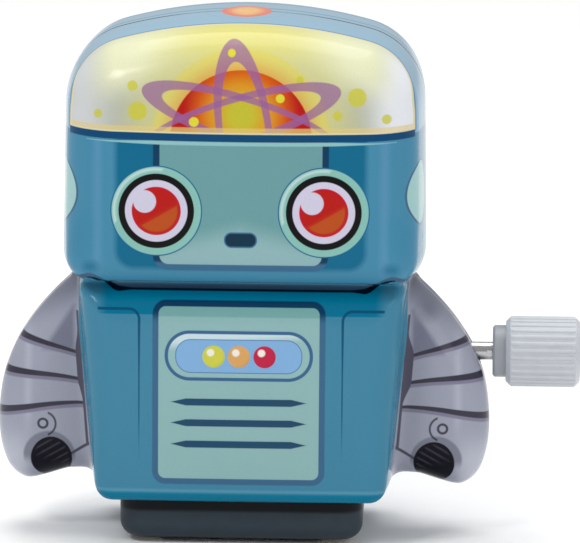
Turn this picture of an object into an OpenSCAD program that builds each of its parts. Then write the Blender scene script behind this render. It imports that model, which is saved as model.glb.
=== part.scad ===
// Tin wind-up robot: two stamped tin shells around a clockwork motor on a plastic base.
// Millimetres. +Z is up, the face looks along -Y, and the winding knob is on the +X side.
// The origin is the middle of the base's flat underside. Every motor axis runs along X.

/* [Head] */
// Width of the head at its seam
head_w = 44; // [42:0.5:46]
// Depth of the head, front to back
head_d = 30; // [28:0.5:32]
// Height of the crown over the base's underside
crown_z = 63.5; // [61:0.5:65]
// Radius of the upper corners, seen from the front
head_corner_r = 9; // [7:0.5:11]
// Radius of the pressed edge around the face
head_edge_r = 5; // [4:0.25:5.5]

/* [Body] */
// Width of the body at its shoulders
shoulder_w = 40.4; // [38:0.2:41]
// Width of the body at its bottom edge
hem_w = 37; // [35.6:0.2:38]
// Depth of the body, front to back
body_d = 25; // [24.6:0.1:26]
// Height of the neck groove
neck_z = 31.5; // [31:0.1:32]
// Height of the body's bottom edge
hem_z = 5.2; // [5:0.1:5.4]
// Span over both arms
arm_span = 60; // [58:0.5:61]
// Depth of the arms, front to back
arm_d = 11.6; // [10:0.2:13]
// Thickness of the tin sheet
sheet = 0.35; // [0.3:0.01:0.4]

/* [Base] */
// Width of the base
base_w = 29.5; // [29.4:0.1:30]
// Depth of the base
base_d = 20; // [20:0.1:20.4]
// Wall of the base
base_wall = 1.1; // [1:0.05:1.15]

/* [Knob] */
// Height of the winding arbor
knob_z = 22; // [21.8:0.1:22.2]
// Diameter of the knob's grip
knob_d = 8.65; // [8:0.05:9.5]
// Length of the knob's grip
grip_len = 9; // [8:0.1:10]
// Number of ribs around the grip
knob_ribs = 30; // [20:1:36]

/* [Motor] */
// Distance between the outer faces of the side plates
motor_w = 16; // [16:0.1:16.4]
// Module of the great wheel's teeth
great_module = 0.45; // [0.44:0.005:0.45]
// Module of the faster gears' teeth
fast_module = 0.4; // [0.39:0.005:0.4]
// Coils in the mainspring
spring_coils = 6; // [4:1:8]
// Radius of the drive tyres
tyre_r = 4.5; // [4.4:0.05:4.6]
// Radius of the front wheels
front_r = 3.4; // [3.3:0.05:3.45]

/* [Hidden] */
eps = 0.01;
run_gap = 0.05;     // radial room of an arbor in its plate
fit_gap = 0.01;     // radial room of a part pressed on its arbor
wheel_drop = 0.5;   // how far the wheels stand out below the base

// Stamped forms
seam_gap = 0.04;       // each half shell ends this far from the seam plane
crown_r = 58;          // radius of the head's crown
jaw_r = 4;             // radius of the head's lower corners
head_lean = 0.3;       // each side of the head leans in this much up to its corner
jaw_z = neck_z - 0.3;  // underside of the head
shoulder_z = neck_z + 1.5;
body_edge_r = 3.4;
hem_r = 3;
draft_r = 65;          // the sides curve in from the seam on this radius
head_back_r = 200;     // and on this one behind the head's seam
arm_floor_z = 7.6;     // the arms are solid below this, next to the body

// Teeth
pressure = 25;
addendum = 0.8;
dedendum = 1.1;
tooth_slack = 0.05;    // each flank is thinned by this much
great_teeth = 40;
slip_teeth = 10;
middle_teeth = 30;
drive_teeth = 12;
governor_teeth = 10;
star_teeth = 12;

// Axes, each as [y, z]
arbor_at = [0, knob_z];
drive_at = [3.8, tyre_r - wheel_drop];
front_at = [-5.2, front_r - wheel_drop];
slip_reach = pitch_r(great_teeth, great_module) + pitch_r(slip_teeth, great_module);
drive_reach = pitch_r(middle_teeth, fast_module) + pitch_r(drive_teeth, fast_module);
governor_reach = pitch_r(middle_teeth, fast_module) + pitch_r(governor_teeth, fast_module);
slip_at = third_corner(arbor_at, drive_at, slip_reach, drive_reach);
governor_at = slip_at + governor_reach * unit(22);
verge_heading = -58.9;
verge_reach = 5.6;
verge_at = governor_at + verge_reach * unit(verge_heading);

// Places along X
plate_t = 0.8;
plate_x = motor_w / 2 - plate_t;      // inner face of a plate
great_x = [-0.6, 0.8];
slip_x = [-1, 1.9];
middle_x = [2, 3];
driven_x = [1.5, 3.5];
star_x = [4.6, 5.1];
verge_x = [5.5, 6.3];
pin_x = [4.4, 5.5];
spring_x = [-6.9, -1.3];
wheel_x = [9.7, 12.3];
ears_x = 29.9;
knob_x = 30.3;
collar_len = 1.6;

// Radii of the arbors
arbor_r = 1.1;
thin_r = 0.6;
axle_r = 0.75;
pin_r = 0.25;
star_r = 3.5;
spring_t = 0.3;
spring_in_r = 2.1;
spring_out_r = 8.7;

// Pillars between the plates, as [y, z]
pillars = [[-9, knob_z + 6.5], [9, knob_z + 6.5], [-9.2, 12.5]];
pillar_r = 1.2;
tenon_r = 0.7;

// Base
tray_top_z = 7;
groove_z = [hem_z - 0.05, hem_z + sheet + 0.3]; // the hem curves up a little towards the faces
groove_deep = 0.6;
tray_corner_r = 3;
tray_bottom_r = 2;
foot_t = 0.8;
screw_at = [5, -1.4];     // [x, y], mirrored
screw_r = 0.78;
screw_head_r = 1.6;
screw_head_t = 0.6;

function unit(angle) = [cos(angle), sin(angle)];
function pitch_r(teeth, m) = teeth * m / 2;
function heading(from, to) = atan2(to[1] - from[1], to[0] - from[0]);

// The point at distances ra from a and rb from b, on the right of the way from a to b
function third_corner(a, b, ra, rb) =
    let (d = norm(b - a), along = (ra * ra - rb * rb + d * d) / (2 * d))
    let (off = sqrt(ra * ra - along * along), u = (b - a) / d)
    a + along * u + off * [u[1], -u[0]];

function arc(c, r, from, to, steps) =
    [for (i = [0 : steps]) c + r * unit(from + (to - from) * i / steps)];

function mirrored(half) =
    concat(half, [for (i = [len(half) - 1 : -1 : 0]) [-half[i][0], half[i][1]]]);

// Outlines in the seam plane, as [x, z], from the bottom middle up the right side
head_half = concat(
    arc([head_w / 2 - jaw_r, jaw_z + jaw_r], jaw_r, -90, 0, 5),
    arc([head_corner_x(), head_shoulder_z()], head_corner_r, 0, head_corner_angle(), 7),
    arc([0, crown_z - crown_r], crown_r, head_corner_angle(), 90, 5));

function head_corner_x() = head_w / 2 - head_lean - head_corner_r;
function head_shoulder_z() =
    crown_z - crown_r + sqrt(pow(crown_r - head_corner_r, 2) - pow(head_corner_x(), 2));
function head_corner_angle() =
    atan2(head_shoulder_z() - crown_z + crown_r, head_corner_x());

body_half = concat(
    arc([hem_w / 2 - hem_r, hem_z + hem_r], hem_r, -90, -5, 4),
    arc([shoulder_w / 2 - 2, shoulder_z - 2], 2, 0, 90, 4));

// The arm is one fair curve from the shoulder round to the hand
arm_half = [[13, 8.2], [25.6, 5.75], [27.2, 6], [28.6, 7.2], [29.4, 8.9],
            [29.9, 11.2], [arm_span / 2, 14.3], [29.6, 17.8], [28.7, 20.9], [27.4, 23.6],
            [25.5, 26.4], [23.2, 29], [20.9, 31.2], [13, 31.2]];

// How far an outline draws in at a depth y, for a form of half depth d with an edge radius r
function draw_in(y, d, r, draft) =
    let (past = max(0, y - (d - r)))
    y * y / (2 * draft) + r - sqrt(max(0, r * r - past * past));

// A puffed form: its outline shrinks towards both faces as draw_in says. With sink 1, it also
// sinks by the draft, so that its underside stays level.
module puffed(outline, d, r, skin = 0, sink = 0, back = draft_r) {
    flat = d - r;
    levels = concat([0, flat / 3, flat * 2 / 3], [for (i = [0 : 7]) flat + r * sin(90 * i / 7)]);
    hull()
        for (side = [-1, 1], y = levels)
            translate([0, side * y * (1 - skin / d), -sink * y * y / (2 * draft_r)])
                rotate([90, 0, 0])
                    linear_extrude(eps, center = true)
                        offset(delta = -draw_in(y, d, r, side > 0 ? back : draft_r) - skin)
                            polygon(outline);
}

module stamped(skin) {
    puffed(mirrored(head_half), head_d / 2, head_edge_r, skin, back = head_back_r);
    puffed(mirrored(body_half), body_d / 2, body_edge_r, skin, 1);
}

// Both halves of the skin, still joined, open underneath for the base
module whole_skin() {
    difference() {
        union() {
            stamped(0);
            for (side = [0, 1])
                mirror([side, 0, 0]) puffed(arm_half, arm_d / 2, arm_d / 2 - 1.2);
        }
        stamped(sheet);
        difference() {
            puffed(mirrored(arm_half), arm_d / 2, arm_d / 2 - 1.2, sheet);
            translate([-25, -arm_d, 0]) cube([50, 2 * arm_d, arm_floor_z]);
        }
        base_opening();
        along_x(20, 31, arbor_at) circle(r = arbor_r + 0.25, $fn = 48);
    }
}

module base_opening() {
    w = base_w - 2 * groove_deep + 0.3;
    d = base_d - 2 * groove_deep + 0.3;
    translate([-w / 2, -d / 2, hem_z - 1]) cube([w, d, 3]);
}

module half_space(side) {
    translate([-50, side > 0 ? seam_gap : -50 - seam_gap, -5]) cube([100, 50, 80]);
}

module front_shell() {
    color("#3f86a3")
        intersection() {
            whole_skin();
            half_space(-1);
        }
}

module back_shell() {
    color("#3f86a3") {
        intersection() {
            whole_skin();
            half_space(1);
        }
        for (side = [0, 1], z = [39, 50])
            mirror([side, 0, 0])
                translate([head_side_x(z), 0, z - tab_h / 2])
                    linear_extrude(tab_h)
                        polygon(tab_plan);
    }
}

// Tabs on each side of the head step inwards and reach past the seam into the front half.
// Their plan is measured in from the head's side, as [x, y].
tab_h = 6;
tab_in = sheet + 0.2;
tab_plan = [[-0.15, 3], [-0.5, 3], [-0.5, 1], [-tab_in - 0.3, 0.6], [-tab_in - 0.3, -2],
            [-tab_in, -2], [-tab_in, 0.1], [-0.15, 0.5]];

function head_side_x(z) =
    let (foot = jaw_z + jaw_r, up = (z - foot) / (head_shoulder_z() - foot))
    head_w / 2 - head_lean * up;

// 2D shapes are drawn as [y, z] and stand from x0 to x1
module along_x(x0, x1, at = [0, 0]) {
    translate([x0, at[0], at[1]])
        rotate([90, 0, 90])
            linear_extrude(x1 - x0)
                children();
}

module rod(x, at, r) {
    along_x(x[0], x[1], at) circle(r = r, $fn = 64);
}

// Base: a tray with rounded lower edges, grooved where the tin closes on it

module round_bottomed(w, h, r) {
    translate([-w / 2, r]) square([w, h - r]);
    translate([-w / 2 + r, 0]) square([w - 2 * r, h]);
    for (side = [-1, 1]) translate([side * (w / 2 - r), r]) circle(r = r, $fn = 64);
}

module tray_block() {
    x = base_w / 2 - tray_corner_r;
    y = base_d / 2 - tray_corner_r;
    translate([0, y, 0])
        rotate([90, 0, 0])
            linear_extrude(2 * y) round_bottomed(base_w, tray_top_z, tray_bottom_r);
    translate([-x, 0, 0])
        rotate([90, 0, 90])
            linear_extrude(2 * x) round_bottomed(base_d, tray_top_z, tray_bottom_r);
    for (i = [-1, 1], j = [-1, 1])
        translate([i * x, j * y, 0])
            rotate_extrude($fn = 64)
                intersection() {
                    round_bottomed(2 * tray_corner_r, tray_top_z, tray_bottom_r);
                    square([tray_corner_r, tray_top_z]);
                }
}

module slab(w, d, z0, z1) {
    translate([-w / 2, -d / 2, z0]) cube([w, d, z1 - z0]);
}

module base_tray() {
    wheel_slots = [[drive_at, 3.9], [front_at, 3.2]];
    color("#2b2f33")
        difference() {
            tray_block();
            slab(base_w - 2 * base_wall - 0.6, base_d - 2 * base_wall, base_wall, tray_top_z + 1);
            difference() {
                slab(base_w + 2, base_d + 2, groove_z[0], groove_z[1]);
                slab(base_w - 2 * groove_deep, base_d - 2 * groove_deep, 0, tray_top_z);
            }
            for (side = [-1, 1]) {
                for (slot = wheel_slots)
                    translate([side * 11 - 1.7, slot[0][0] - slot[1], -1])
                        cube([3.4, 2 * slot[1], 3]);
                translate([side * screw_at[0], screw_at[1], -1])
                    cylinder(h = 3, r = screw_r + 0.1, $fn = 48);
                translate([side * screw_at[0], screw_at[1], -eps])
                    cylinder(h = screw_head_t + 0.05, r = screw_head_r + 0.15, $fn = 48);
            }
        }
}

module base_screws() {
    color("silver")
        for (side = [-1, 1])
            translate([side * screw_at[0], screw_at[1], 0.05])
                difference() {
                    union() {
                        cylinder(h = screw_head_t - eps, r = screw_head_r, $fn = 48);
                        cylinder(h = base_wall + foot_t + 0.6, r = screw_r, $fn = 48);
                    }
                    for (turn = [0, 90])
                        rotate(turn) translate([-1, -0.2, -1]) cube([2, 0.4, 1.3]);
                }
}

// Motor frame: two plates, each with a foot bent inwards on the base's floor

plate_outline = [[-8.3, base_wall], [7.6, base_wall], [7.9, 7.6], [10.6, 8.4], [10.6, 29],
                 [8.6, knob_z + 8.6], [-8.6, knob_z + 8.6], [-10.6, 29], [-10.6, 9.6],
                 [-8.3, 7.6]];

module motor_plate() {
    along_x(plate_x, plate_x + plate_t)
        difference() {
            polygon(plate_outline);
            translate(arbor_at) circle(r = arbor_r + run_gap, $fn = 64);
            for (at = [governor_at, verge_at])
                translate(at) circle(r = thin_r + run_gap, $fn = 48);
            for (at = [drive_at, front_at])
                translate(at) circle(r = axle_r + run_gap, $fn = 48);
            slip_slot();
            for (at = pillars)
                translate(at) circle(r = tenon_r + fit_gap, $fn = 48);
        }
    difference() {
        translate([2.6, -3.4, base_wall]) cube([plate_x - 2.6 + eps, 4, foot_t]);
        translate([screw_at[0], screw_at[1], 0]) cylinder(h = 5, r = screw_r + fit_gap, $fn = 48);
    }
}

// The slip arbor can back out of mesh along this slot while the knob is wound
module slip_slot() {
    away = 0.9 * unit(heading(arbor_at, slip_at) - 55);
    translate(slip_at) circle(r = thin_r + run_gap, $fn = 48);
    translate(slip_at + away) circle(r = thin_r + run_gap, $fn = 48);
    translate(slip_at)
        rotate(heading([0, 0], away))
            translate([0, -thin_r - run_gap]) square([norm(away), 2 * (thin_r + run_gap)]);
}

module left_plate() {
    color("#b9b39a") mirror([1, 0, 0]) motor_plate();
}

module right_plate() {
    color("#b9b39a") motor_plate();
}

module frame_pillars() {
    color("#c9c9c9")
        for (at = pillars) {
            rod([-plate_x, plate_x], at, pillar_r);
            rod([-plate_x - plate_t - 0.2, plate_x + plate_t + 0.2], at, tenon_r);
        }
}

// Gear teeth, with involute flanks

function roll(r, base) = r <= base ? 0 : sqrt(pow(r / base, 2) - 1) * 180 / PI - acos(base / r);

function half_tooth(r, teeth, m) =
    let (rp = pitch_r(teeth, m), base = rp * cos(pressure))
    90 / teeth - tooth_slack / rp * 180 / PI + roll(rp, base) - roll(r, base);

function flank_radii(teeth, m) =
    let (rp = pitch_r(teeth, m), root = rp - dedendum * m, tip = rp + addendum * m)
    [for (i = [0 : 3]) root + (tip - root) * i / 3];

// The outline of a gear with one tooth pointing along phase
function gear_outline(teeth, m, phase) =
    let (radii = flank_radii(teeth, m))
    [for (i = [0 : teeth - 1], side = [-1, 1], k = [0 : 3])
        let (r = radii[side < 0 ? k : 3 - k])
        r * unit(phase + i * 360 / teeth + side * half_tooth(r, teeth, m))];

// The phase at which a gear meshes with the gear that drives it, seen along dir
function meshed(dir, teeth_in, phase_in, teeth_out) =
    dir + 180 + 180 / teeth_out + (dir - phase_in) * teeth_in / teeth_out;

module gear(x, at, teeth, m, phase, bore) {
    along_x(x[0], x[1], at)
        difference() {
            polygon(gear_outline(teeth, m, phase));
            circle(r = bore, $fn = 64);
        }
}

great_phase = heading(arbor_at, slip_at);
slip_phase = meshed(great_phase, great_teeth, great_phase, slip_teeth);
middle_phase = heading(slip_at, drive_at);
drive_phase = meshed(middle_phase, middle_teeth, middle_phase, drive_teeth);
governor_phase = meshed(22, middle_teeth, middle_phase, governor_teeth);

// Winding arbor, knob and spring

module winding_arbor() {
    color("silver") {
        rod([-plate_x - plate_t - 0.6, knob_x + 8], arbor_at, arbor_r);
        translate([ears_x - 0.3, -1.75, knob_z - 0.35]) cube([0.6, 3.5, 0.7]);
    }
}

module winding_knob() {
    rib_r = 0.3;
    color("#e8ecee")
        difference() {
            union() {
                translate([knob_x, 0, knob_z])
                    rotate([0, 90, 0])
                        rotate_extrude($fn = 96)
                            knob_profile();
                for (i = [0 : knob_ribs - 1])
                    rod([knob_x + collar_len + 0.6, knob_x + collar_len + grip_len - 0.6],
                        arbor_at + (knob_d / 2 - rib_r) * unit(i * 360 / knob_ribs), rib_r);
            }
            rod([knob_x - 1, knob_x + 8.2], arbor_at, arbor_r + fit_gap);
        }
}

// Collar, grip and the dished outer end, as [radius, distance along the shaft]
module knob_profile() {
    r = knob_d / 2 - 0.15;
    soft = 0.5;
    end = collar_len + grip_len;
    polygon([[0, 0], [2.9, 0], [3.175, 0.25], [3.175, collar_len], [r - soft, collar_len],
             [r, collar_len + soft], [r, end - soft], [r - soft, end], [3.2, end],
             [2.9, end - 0.4], [0, end - 0.4]]);
}

module spring_hub() {
    color("#b08d3c")
        difference() {
            union() {
                rod([spring_x[0], spring_x[1]], arbor_at, 2);
                rod([spring_x[1], great_x[0]], arbor_at, 2.6);
            }
            rod([-8, 1], arbor_at, arbor_r + fit_gap);
        }
}

// The run-down spring: a spiral from the hub out to a loop around the first pillar
module mainspring() {
    turns = spring_coils + heading(arbor_at, pillars[0]) / 360;
    steps = spring_coils * 24;
    grow = spring_out_r - spring_in_r;
    inner = [for (i = [0 : steps]) let (t = i / steps) (spring_in_r + grow * t) * unit(360 * turns * t)];
    outer = [for (i = [steps : -1 : 0]) let (t = i / steps)
                (spring_in_r + spring_t + grow * t) * unit(360 * turns * t)];
    hook = pillars[0] - arbor_at;
    color("#6d7379")
        along_x(spring_x[0], spring_x[1], arbor_at) {
            polygon(concat(inner, outer));
            difference() {
                translate(hook) circle(r = pillar_r + 0.1 + spring_t, $fn = 48);
                translate(hook) circle(r = pillar_r + 0.1, $fn = 48);
                translate(hook) rotate(heading([0, 0], hook) + 60) square([3, 3]);
            }
            rotate(heading([0, 0], hook))
                translate([spring_out_r + 0.1, -spring_t / 2])
                    square([norm(hook) - pillar_r - spring_out_r - 0.1, spring_t]);
        }
}

module great_wheel() {
    color("#cfa94a")
        gear(great_x, arbor_at, great_teeth, great_module, great_phase, arbor_r + fit_gap);
}

module slip_arbor() {
    color("silver") rod([-plate_x - plate_t - 0.3, plate_x + plate_t + 0.3], slip_at, thin_r);
}

module slip_pinion() {
    color("#d9d4c4")
        gear(slip_x, slip_at, slip_teeth, great_module, slip_phase, thin_r + fit_gap);
}

module intermediate_wheel() {
    color("#d9d4c4")
        gear(middle_x, slip_at, middle_teeth, fast_module, middle_phase, thin_r + fit_gap);
}

// Drive axle, with its wheels outside the plates

module drive_axle() {
    color("silver") rod([-wheel_x[1] - 0.3, wheel_x[1] + 0.3], drive_at, axle_r);
}

module drive_pinion() {
    color("#d9d4c4")
        gear(driven_x, drive_at, drive_teeth, fast_module, drive_phase, axle_r + fit_gap);
}

module disc_pair(x, at, r, bore) {
    for (side = [0, 1])
        mirror([side, 0, 0])
            along_x(x[0], x[1], at)
                difference() {
                    circle(r = r, $fn = 96);
                    circle(r = bore, $fn = 64);
                }
}

module drive_wheels() {
    color("#d8d2c0") {
        disc_pair([wheel_x[0] + 0.7, wheel_x[1] - 0.7], drive_at, tyre_r - 1.1, axle_r + fit_gap);
        disc_pair(wheel_x, drive_at, 1.8, axle_r + fit_gap);
        disc_pair(wheel_x, drive_at, tyre_r - 0.8, tyre_r - 1.5);
    }
}

module drive_tyres() {
    color("#1d1d1f") disc_pair(wheel_x, drive_at, tyre_r, tyre_r - 0.8 + fit_gap);
}

// Governor: a star wheel that a rocking verge holds back

module governor_arbor() {
    color("silver") rod([-plate_x - plate_t - 0.3, plate_x + plate_t + 0.3], governor_at, thin_r);
}

module governor_pinion() {
    color("#d9d4c4")
        gear(driven_x, governor_at, governor_teeth, fast_module, governor_phase, thin_r + fit_gap);
}

module star_wheel() {
    root_r = 2.3;
    points = [for (i = [0 : star_teeth - 1], side = [-1, 0, 1])
        (side == 0 ? star_r : root_r) * unit(verge_heading + (i + side * 0.22) * 360 / star_teeth)];
    color("#cfa94a")
        along_x(star_x[0], star_x[1], governor_at)
            difference() {
                polygon(points);
                circle(r = thin_r + fit_gap, $fn = 48);
            }
}

pin_reach = star_r + pin_r + 0.12;
pin_spread = 1.25 * 360 / star_teeth;
pins_at = [for (side = [-1, 1]) governor_at + pin_reach * unit(verge_heading + side * pin_spread)];

module verge_staff() {
    color("silver") rod([-plate_x - plate_t - 0.3, plate_x + plate_t + 0.3], verge_at, thin_r);
}

module verge() {
    color("#c9c9c9")
        along_x(verge_x[0], verge_x[1])
            difference() {
                union() {
                    translate(verge_at) circle(r = 1.3, $fn = 128);
                    for (at = pins_at) {
                        translate(at) circle(r = 0.6, $fn = 96);
                        translate(verge_at)
                            rotate(heading(verge_at, at))
                                translate([0, -0.45]) square([norm(at - verge_at), 0.9]);
                    }
                }
                translate(verge_at) circle(r = thin_r + fit_gap, $fn = 96);
                for (at = pins_at) translate(at) circle(r = pin_r + fit_gap, $fn = 64);
            }
}

module verge_pins() {
    color("silver") for (at = pins_at) rod([pin_x[0], verge_x[1]], at, pin_r);
}

// Front rollers, free on their axle's bearings

module front_axle() {
    color("silver") rod([-wheel_x[1] - 0.2, wheel_x[1] + 0.2], front_at, axle_r);
}

module front_wheels() {
    color("#d8d2c0") {
        disc_pair([wheel_x[0] + 0.6, wheel_x[1] - 0.6], front_at, front_r - 0.6, axle_r + fit_gap);
        disc_pair(wheel_x, front_at, 1.5, axle_r + fit_gap);
        disc_pair(wheel_x, front_at, front_r, front_r - 0.9);
    }
}

front_shell();
back_shell();
base_tray();
base_screws();
left_plate();
right_plate();
frame_pillars();
winding_arbor();
winding_knob();
spring_hub();
mainspring();
great_wheel();
slip_arbor();
slip_pinion();
intermediate_wheel();
drive_axle();
drive_pinion();
drive_wheels();
drive_tyres();
governor_arbor();
governor_pinion();
star_wheel();
verge_staff();
verge();
verge_pins();
front_axle();
front_wheels();
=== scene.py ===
"""Looks of the tin wind-up robot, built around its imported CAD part."""

import math

import bmesh
import bpy
import numpy as np
from mathutils import Matrix, Vector


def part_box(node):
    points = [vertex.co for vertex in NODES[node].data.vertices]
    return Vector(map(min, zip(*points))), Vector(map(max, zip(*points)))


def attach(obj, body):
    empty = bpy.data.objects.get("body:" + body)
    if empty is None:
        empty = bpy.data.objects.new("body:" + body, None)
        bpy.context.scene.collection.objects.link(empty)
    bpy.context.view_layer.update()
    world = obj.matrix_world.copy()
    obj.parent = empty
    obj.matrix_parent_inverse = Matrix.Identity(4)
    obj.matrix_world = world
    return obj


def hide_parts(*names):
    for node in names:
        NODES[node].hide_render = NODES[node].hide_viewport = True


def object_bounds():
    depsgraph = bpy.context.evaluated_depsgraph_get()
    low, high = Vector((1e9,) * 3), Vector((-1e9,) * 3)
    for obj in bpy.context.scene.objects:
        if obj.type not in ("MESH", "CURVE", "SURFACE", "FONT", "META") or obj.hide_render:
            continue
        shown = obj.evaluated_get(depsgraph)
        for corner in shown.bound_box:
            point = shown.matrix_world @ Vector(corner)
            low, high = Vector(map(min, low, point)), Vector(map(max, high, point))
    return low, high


MM = 0.001
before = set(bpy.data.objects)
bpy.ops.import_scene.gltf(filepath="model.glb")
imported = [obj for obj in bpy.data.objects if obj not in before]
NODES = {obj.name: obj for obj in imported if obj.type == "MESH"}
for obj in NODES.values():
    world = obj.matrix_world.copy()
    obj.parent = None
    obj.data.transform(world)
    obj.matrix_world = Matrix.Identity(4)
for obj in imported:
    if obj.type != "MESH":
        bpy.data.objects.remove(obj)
CAD_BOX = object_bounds()


def mm_box(node):
    """Lowest and highest corner of a CAD node in millimetres."""
    low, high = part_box(node)
    return np.array(low) / MM, np.array(high) / MM


# ---------------------------------------------------------------- node helpers

def linear_rgb(r, g, b):
    """An sRGB colour, 0 to 255, as linear RGBA."""
    def linear(c):
        c /= 255
        return ((c + 0.055) / 1.055) ** 2.4 if c > 0.04045 else c / 12.92
    return (linear(r), linear(g), linear(b), 1.0)


def ink_rgb(r, g, b):
    """An ink as it should look under the varnish, whose own gloss lifts the darks a little."""
    return tuple(max(0.0, 0.87 * c - 0.009) for c in linear_rgb(r, g, b)[:3]) + (1.0,)


def put(tree, value, socket):
    """Links a value to a socket, or sets it there when it is a plain number or colour."""
    if hasattr(value, "socket"):
        tree.links.new(value.socket, socket)
    elif isinstance(value, bpy.types.NodeSocket):
        tree.links.new(value, socket)
    else:
        socket.default_value = value


class Val:
    """A number worked out by shader nodes. Arithmetic on it adds Math nodes."""

    def __init__(self, tree, socket):
        self.tree = tree
        self.socket = socket

    def do(self, operation, *values, clamp=False):
        node = self.tree.nodes.new("ShaderNodeMath")
        node.operation = operation
        node.use_clamp = clamp
        for value, socket in zip(values, node.inputs):
            put(self.tree, value, socket)
        return Val(self.tree, node.outputs[0])

    def __add__(self, other):
        return self.do("ADD", self, other)

    def __radd__(self, other):
        return self.do("ADD", other, self)

    def __sub__(self, other):
        return self.do("SUBTRACT", self, other)

    def __rsub__(self, other):
        return self.do("SUBTRACT", other, self)

    def __mul__(self, other):
        return self.do("MULTIPLY", self, other)

    def __rmul__(self, other):
        return self.do("MULTIPLY", other, self)

    def __truediv__(self, other):
        return self.do("DIVIDE", self, other)

    def __neg__(self):
        return self.do("MULTIPLY", self, -1.0)

    def __abs__(self):
        return self.do("ABSOLUTE", self)

    def low(self, other):
        """The smaller of the two."""
        return self.do("MINIMUM", self, other)

    def high(self, other):
        """The larger of the two."""
        return self.do("MAXIMUM", self, other)

    def sign(self):
        return self.do("SIGN", self)

    def root(self):
        return self.do("SQRT", self)

    def sine(self):
        return self.do("SINE", self)

    def rise(self, start, end):
        """0 up to start and 1 from end, smooth in between. Start may be the larger."""
        node = self.tree.nodes.new("ShaderNodeMapRange")
        node.interpolation_type = "SMOOTHSTEP"
        flip = start > end
        put(self.tree, self, node.inputs["Value"])
        node.inputs["From Min"].default_value = min(start, end)
        node.inputs["From Max"].default_value = max(start, end)
        node.inputs["To Min"].default_value = 1.0 if flip else 0.0
        node.inputs["To Max"].default_value = 0.0 if flip else 1.0
        return Val(self.tree, node.outputs["Result"])


def length(a, b):
    return (a * a + b * b).root()


def disc(x, z, cx, cz, r):
    """Signed distance to a circle."""
    return length(x - cx, z - cz) - r


def plate(x, z, cx, cz, hx, hz, r):
    """Signed distance to a box with half sizes hx and hz and rounded corners."""
    qx = abs(x - cx) - (hx - r)
    qz = abs(z - cz) - (hz - r)
    return length(qx.high(0.0), qz.high(0.0)) + qx.high(qz).low(0.0) - r


def ellipse(x, z, cx, cz, a, b, turn):
    """Roughly the signed distance to an ellipse turned by turn degrees."""
    c, s = math.cos(math.radians(turn)), math.sin(math.radians(turn))
    u = ((x - cx) * c + (z - cz) * s) * (1 / a)
    v = ((z - cz) * c - (x - cx) * s) * (1 / b)
    k = length(u, v)
    return k * (k - 1.0) / length(u * (1 / a), v * (1 / b)).high(0.01)


def inked(d, soft=0.1):
    """1 inside a shape and 0 outside, from its signed distance in mm."""
    return d.do("MULTIPLY_ADD", d, -1.0 / soft, 0.5, clamp=True)


class Paint:
    """A colour that layers are printed over."""

    def __init__(self, tree, colour):
        self.tree = tree
        self.colour = colour

    def over(self, colour, mask):
        """Prints a colour where the mask is 1."""
        node = self.tree.nodes.new("ShaderNodeMix")
        node.data_type = "RGBA"
        put(self.tree, mask, node.inputs[0])
        put(self.tree, self.colour, node.inputs[6])
        put(self.tree, colour, node.inputs[7])
        self.colour = node.outputs[2]
        return self


class Surface:
    """A material with its object coordinates in millimetres at hand."""

    def __init__(self, name):
        self.material = bpy.data.materials.new(name)
        self.material.use_nodes = True
        self.tree = self.material.node_tree
        self.shader = self.tree.nodes["Principled BSDF"]
        place = self.tree.nodes.new("ShaderNodeTexCoord")
        grow = self.tree.nodes.new("ShaderNodeVectorMath")
        grow.operation = "SCALE"
        grow.inputs["Scale"].default_value = 1000.0
        self.tree.links.new(place.outputs["Object"], grow.inputs[0])
        self.where = grow.outputs[0]
        split = self.tree.nodes.new("ShaderNodeSeparateXYZ")
        self.tree.links.new(self.where, split.inputs[0])
        self.x, self.y, self.z = (Val(self.tree, s) for s in split.outputs)

    def noise(self, per_mm, detail=3.0, rough=0.55, stretch=(1, 1, 1)):
        """A value from about 0.2 to 0.8 that changes over 1 / per_mm."""
        scaled = self.tree.nodes.new("ShaderNodeVectorMath")
        scaled.operation = "MULTIPLY"
        scaled.inputs[1].default_value = stretch
        self.tree.links.new(self.where, scaled.inputs[0])
        node = self.tree.nodes.new("ShaderNodeTexNoise")
        node.inputs["Scale"].default_value = per_mm
        node.inputs["Detail"].default_value = detail
        node.inputs["Roughness"].default_value = rough
        self.tree.links.new(scaled.outputs[0], node.inputs["Vector"])
        return Val(self.tree, node.outputs["Fac"])

    def set(self, **values):
        for name, value in values.items():
            put(self.tree, value, self.shader.inputs[name.replace("_", " ")])
        return self

    def bump(self, height, strength, depth_mm):
        node = self.tree.nodes.new("ShaderNodeBump")
        node.inputs["Strength"].default_value = strength
        node.inputs["Distance"].default_value = depth_mm * MM
        put(self.tree, height, node.inputs["Height"])
        put(self.tree, node.outputs[0], self.shader.inputs["Normal"])
        return self

    def paint(self, colour):
        return Paint(self.tree, colour)


def lay(surface, paint, grain):
    """The paint with a fine light and dark grain, as the surface's base colour."""
    node = surface.tree.nodes.new("ShaderNodeMix")
    node.data_type = "RGBA"
    node.blend_type = "MULTIPLY"
    node.inputs[0].default_value = 1.0
    put(surface.tree, paint.colour, node.inputs[6])
    ramp = surface.tree.nodes.new("ShaderNodeCombineColor")
    for socket in ramp.inputs:
        put(surface.tree, grain, socket)
    put(surface.tree, ramp.outputs[0], node.inputs[7])
    surface.set(Base_Color=node.outputs[2])


# ---------------------------------------------------------------- stamped tin skin

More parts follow.
